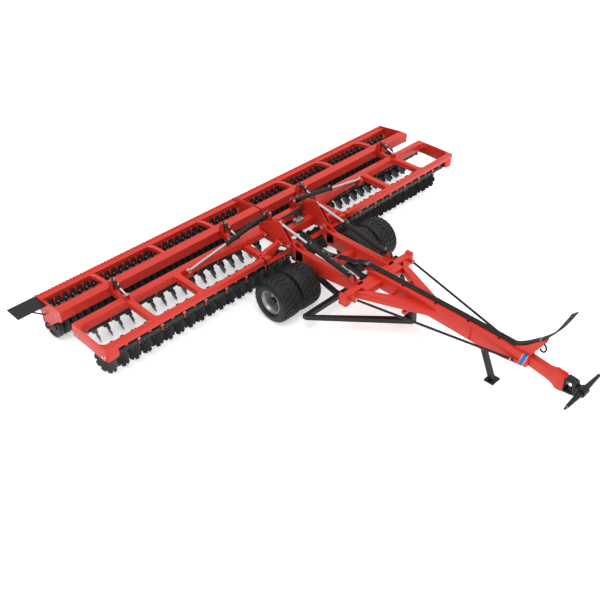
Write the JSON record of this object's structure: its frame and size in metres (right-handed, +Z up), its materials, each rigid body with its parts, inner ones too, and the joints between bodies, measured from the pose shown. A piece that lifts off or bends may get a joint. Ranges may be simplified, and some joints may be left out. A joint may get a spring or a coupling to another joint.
{
  "type": "trailed folding disc harrow",
  "caption": "Trailed disc harrow with two folding wings of notched discs, a ring roller behind them, twin wheels, and a drawbar with stand and link bar.",
  "frame": {"origin": "middle of the hitch cross bar that the lower links take, 0.79 m over the ground", "axes": "+Y towards the rear of the machine, +X to its left side, +Z up"},
  "size_m": [9.955, 8.218, 2.1087],
  "materials": {
    "red_paint": "satin",
    "black_paint": "satin",
    "tyre_rubber": "matte",
    "rim_silver": "satin",
    "hose_rubber": "matte",
    "rod_chrome": "polished",
    "disc_steel": "satin",
    "dark_steel": "satin"
  },
  "bodies": {
    "chassis": {"chassis": "red_paint", "axle_frame": "black_paint", "stay_rods": "black_paint", "hose_mast": "red_paint", "drawbar_hoses": "hose_rubber", "hitch_link": "red_paint", "hose_end_1": "hose_rubber", "hose_end_2": "hose_rubber", "hose_end_3": "hose_rubber", "hose_end_4": "hose_rubber"},
    "tower": {"tower": "red_paint"},
    "stand": {"stand": "black_paint"},
    "hitch_swivel": {"hitch_swivel": "black_paint"},
    "hitch_bar": {"hitch_bar": "black_paint"},
    "wing_right": {"wing_frame_right": "red_paint", "front_discs_right": "disc_steel", "rear_discs_right": "disc_steel"},
    "roller_frame_right": {"roller_frame_right": "red_paint", "scrapers_right": "dark_steel", "side_board": "black_paint"},
    "roller_right": {"roller_right": "dark_steel"},
    "wheels_right": {"tyres_right": "tyre_rubber", "rims_right": "rim_silver"},
    "lift_barrel_right": {"lift_barrel_right": "black_paint"},
    "lift_rod_right": {"lift_rod_right": "rod_chrome"},
    "fold_barrel_right": {"fold_barrel_right": "black_paint"},
    "fold_rod_right": {"fold_rod_right": "rod_chrome"},
    "depth_barrel_inner_right": {"depth_barrel_inner_right": "black_paint"},
    "depth_rod_inner_right": {"depth_rod_inner_right": "rod_chrome"},
    "depth_barrel_outer_right": {"depth_barrel_outer_right": "black_paint"},
    "depth_rod_outer_right": {"depth_rod_outer_right": "rod_chrome"},
    "wing_left": {"wing_frame_left": "red_paint", "front_discs_left": "disc_steel", "rear_discs_left": "disc_steel"},
    "roller_frame_left": {"roller_frame_left": "red_paint", "scrapers_left": "dark_steel"},
    "roller_left": {"roller_left": "dark_steel"},
    "wheels_left": {"tyres_left": "tyre_rubber", "rims_left": "rim_silver"},
    "lift_barrel_left": {"lift_barrel_left": "black_paint"},
    "lift_rod_left": {"lift_rod_left": "rod_chrome"},
    "fold_barrel_left": {"fold_barrel_left": "black_paint"},
    "fold_rod_left": {"fold_rod_left": "rod_chrome"},
    "depth_barrel_inner_left": {"depth_barrel_inner_left": "black_paint"},
    "depth_rod_inner_left": {"depth_rod_inner_left": "rod_chrome"},
    "depth_barrel_outer_left": {"depth_barrel_outer_left": "black_paint"},
    "depth_rod_outer_left": {"depth_rod_outer_left": "rod_chrome"}
  },
  "joints": [
    {"name": "tilt", "type": "hinge", "parent": "chassis", "child": "tower", "pos_m": [0, 5.91, 0.14], "axis": [1, 0, 0], "range_deg": [0, 90]},
    {"name": "fold_right", "type": "hinge", "parent": "tower", "child": "wing_right", "pos_m": [-0.62, 6.03, 0.16], "axis": [0, 1, 0], "range_deg": [0, 90]},
    {"name": "roller_depth_right", "type": "hinge", "parent": "wing_right", "child": "roller_frame_right", "pos_m": [0, 6.99, 0.01], "axis": [1, 0, 0], "range_deg": [-6, 6]},
    {"name": "roller_spin_right", "type": "hinge", "parent": "roller_frame_right", "child": "roller_right", "pos_m": [0, 7.86, -0.506], "axis": [1, 0, 0], "continuous": true},
    {"name": "wheel_spin_right", "type": "hinge", "parent": "chassis", "child": "wheels_right", "pos_m": [0, 5.37, -0.3575], "axis": [1, 0, 0], "continuous": true},
    {"name": "lift_barrel_pivot_right", "type": "hinge", "parent": "chassis", "child": "lift_barrel_right", "pos_m": [-0.506, 4.32, 0.2], "axis": [1, 0, 0], "range_deg": [-2, 2]},
    {"name": "lift_rod_slide_right", "type": "slide", "parent": "lift_barrel_right", "child": "lift_rod_right", "axis": [0, -0.9861, -0.1659], "range_m": [0, 0.6592]},
    {"name": "fold_barrel_pivot_right", "type": "hinge", "parent": "tower", "child": "fold_barrel_right", "pos_m": [-0.332, 6.678, 0.44], "axis": [0, 1, 0], "range_deg": [-1, 87.14]},
    {"name": "fold_rod_slide_right", "type": "slide", "parent": "fold_barrel_right", "child": "fold_rod_right", "axis": [0.9865, 0, 0.1639], "range_m": [0, 0.5576]},
    {"name": "depth_barrel_pivot_inner_right", "type": "hinge", "parent": "roller_frame_right", "child": "depth_barrel_inner_right", "pos_m": [-1.05, 7.21, 0.3], "axis": [1, 0, 0], "range_deg": [-2.11, 2.11]},
    {"name": "depth_rod_slide_inner_right", "type": "slide", "parent": "depth_barrel_inner_right", "child": "depth_rod_inner_right", "axis": [0, 0.9487, 0.3162], "range_m": [-0.0225, 0.0225]},
    {"name": "depth_barrel_pivot_outer_right", "type": "hinge", "parent": "roller_frame_right", "child": "depth_barrel_outer_right", "pos_m": [-3.64, 7.21, 0.3], "axis": [1, 0, 0], "range_deg": [-2.11, 2.11]},
    {"name": "depth_rod_slide_outer_right", "type": "slide", "parent": "depth_barrel_outer_right", "child": "depth_rod_outer_right", "axis": [0, 0.9487, 0.3162], "range_m": [-0.0225, 0.0225]},
    {"name": "fold_left", "type": "hinge", "parent": "tower", "child": "wing_left", "pos_m": [0.62, 6.03, 0.16], "axis": [0, -1, 0], "range_deg": [0, 90]},
    {"name": "roller_depth_left", "type": "hinge", "parent": "wing_left", "child": "roller_frame_left", "pos_m": [0, 6.99, 0.01], "axis": [1, 0, 0], "range_deg": [-6, 6]},
    {"name": "roller_spin_left", "type": "hinge", "parent": "roller_frame_left", "child": "roller_left", "pos_m": [0, 7.86, -0.506], "axis": [1, 0, 0], "continuous": true},
    {"name": "wheel_spin_left", "type": "hinge", "parent": "chassis", "child": "wheels_left", "pos_m": [0, 5.37, -0.3575], "axis": [1, 0, 0], "continuous": true},
    {"name": "lift_barrel_pivot_left", "type": "hinge", "parent": "chassis", "child": "lift_barrel_left", "pos_m": [0.506, 4.32, 0.2], "axis": [1, 0, 0], "range_deg": [-2, 2]},
    {"name": "lift_rod_slide_left", "type": "slide", "parent": "lift_barrel_left", "child": "lift_rod_left", "axis": [0, -0.9861, -0.1659], "range_m": [0, 0.6592]},
    {"name": "fold_barrel_pivot_left", "type": "hinge", "parent": "tower", "child": "fold_barrel_left", "pos_m": [0.332, 6.678, 0.44], "axis": [0, -1, 0], "range_deg": [-1, 87.14]},
    {"name": "fold_rod_slide_left", "type": "slide", "parent": "fold_barrel_left", "child": "fold_rod_left", "axis": [-0.9865, 0, 0.1639], "range_m": [0, 0.5576]},
    {"name": "depth_barrel_pivot_inner_left", "type": "hinge", "parent": "roller_frame_left", "child": "depth_barrel_inner_left", "pos_m": [1.05, 7.21, 0.3], "axis": [1, 0, 0], "range_deg": [-2.11, 2.11]},
    {"name": "depth_rod_slide_inner_left", "type": "slide", "parent": "depth_barrel_inner_left", "child": "depth_rod_inner_left", "axis": [0, 0.9487, 0.3162], "range_m": [-0.0225, 0.0225]},
    {"name": "depth_barrel_pivot_outer_left", "type": "hinge", "parent": "roller_frame_left", "child": "depth_barrel_outer_left", "pos_m": [3.64, 7.21, 0.3], "axis": [1, 0, 0], "range_deg": [-2.11, 2.11]},
    {"name": "depth_rod_slide_outer_left", "type": "slide", "parent": "depth_barrel_outer_left", "child": "depth_rod_outer_left", "axis": [0, 0.9487, 0.3162], "range_m": [-0.0225, 0.0225]},
    {"name": "stand_swing", "type": "hinge", "parent": "chassis", "child": "stand", "pos_m": [0, 1.81, -0.19], "axis": [1, 0, 0], "range_deg": [0, 90]},
    {"name": "hitch_swivel_turn", "type": "hinge", "parent": "chassis", "child": "hitch_swivel", "pos_m": [0, 0.13, 0], "axis": [0, 0, 1], "range_deg": [-60, 60]},
    {"name": "hitch_bar_turn", "type": "hinge", "parent": "hitch_swivel", "child": "hitch_bar", "pos_m": [0, 0, 0], "axis": [1, 0, 0], "range_deg": [-25, 25]}
  ],
  "couplings": [
    {"joint": "lift_barrel_pivot_right", "follows": "tilt", "ratio": 0.005784},
    {"joint": "lift_rod_slide_right", "follows": "tilt", "m_per_rad": 0.41839},
    {"joint": "fold_barrel_pivot_right", "follows": "fold_right", "ratio": 0.95711},
    {"joint": "fold_rod_slide_right", "follows": "fold_right", "m_per_rad": 0.35371},
    {"joint": "depth_barrel_pivot_inner_right", "follows": "roller_depth_right", "ratio": -0.26843},
    {"joint": "depth_rod_slide_inner_right", "follows": "roller_depth_right", "m_per_rad": 0.20539},
    {"joint": "depth_barrel_pivot_outer_right", "follows": "roller_depth_right", "ratio": -0.26843},
    {"joint": "depth_rod_slide_outer_right", "follows": "roller_depth_right", "m_per_rad": 0.20539},
    {"joint": "lift_barrel_pivot_left", "follows": "tilt", "ratio": 0.005784},
    {"joint": "lift_rod_slide_left", "follows": "tilt", "m_per_rad": 0.41839},
    {"joint": "fold_barrel_pivot_left", "follows": "fold_left", "ratio": 0.95711},
    {"joint": "fold_rod_slide_left", "follows": "fold_left", "m_per_rad": 0.35371},
    {"joint": "depth_barrel_pivot_inner_left", "follows": "roller_depth_left", "ratio": -0.26843},
    {"joint": "depth_rod_slide_inner_left", "follows": "roller_depth_left", "m_per_rad": 0.20539},
    {"joint": "depth_barrel_pivot_outer_left", "follows": "roller_depth_left", "ratio": -0.26843},
    {"joint": "depth_rod_slide_outer_left", "follows": "roller_depth_left", "m_per_rad": 0.20539}
  ]
}
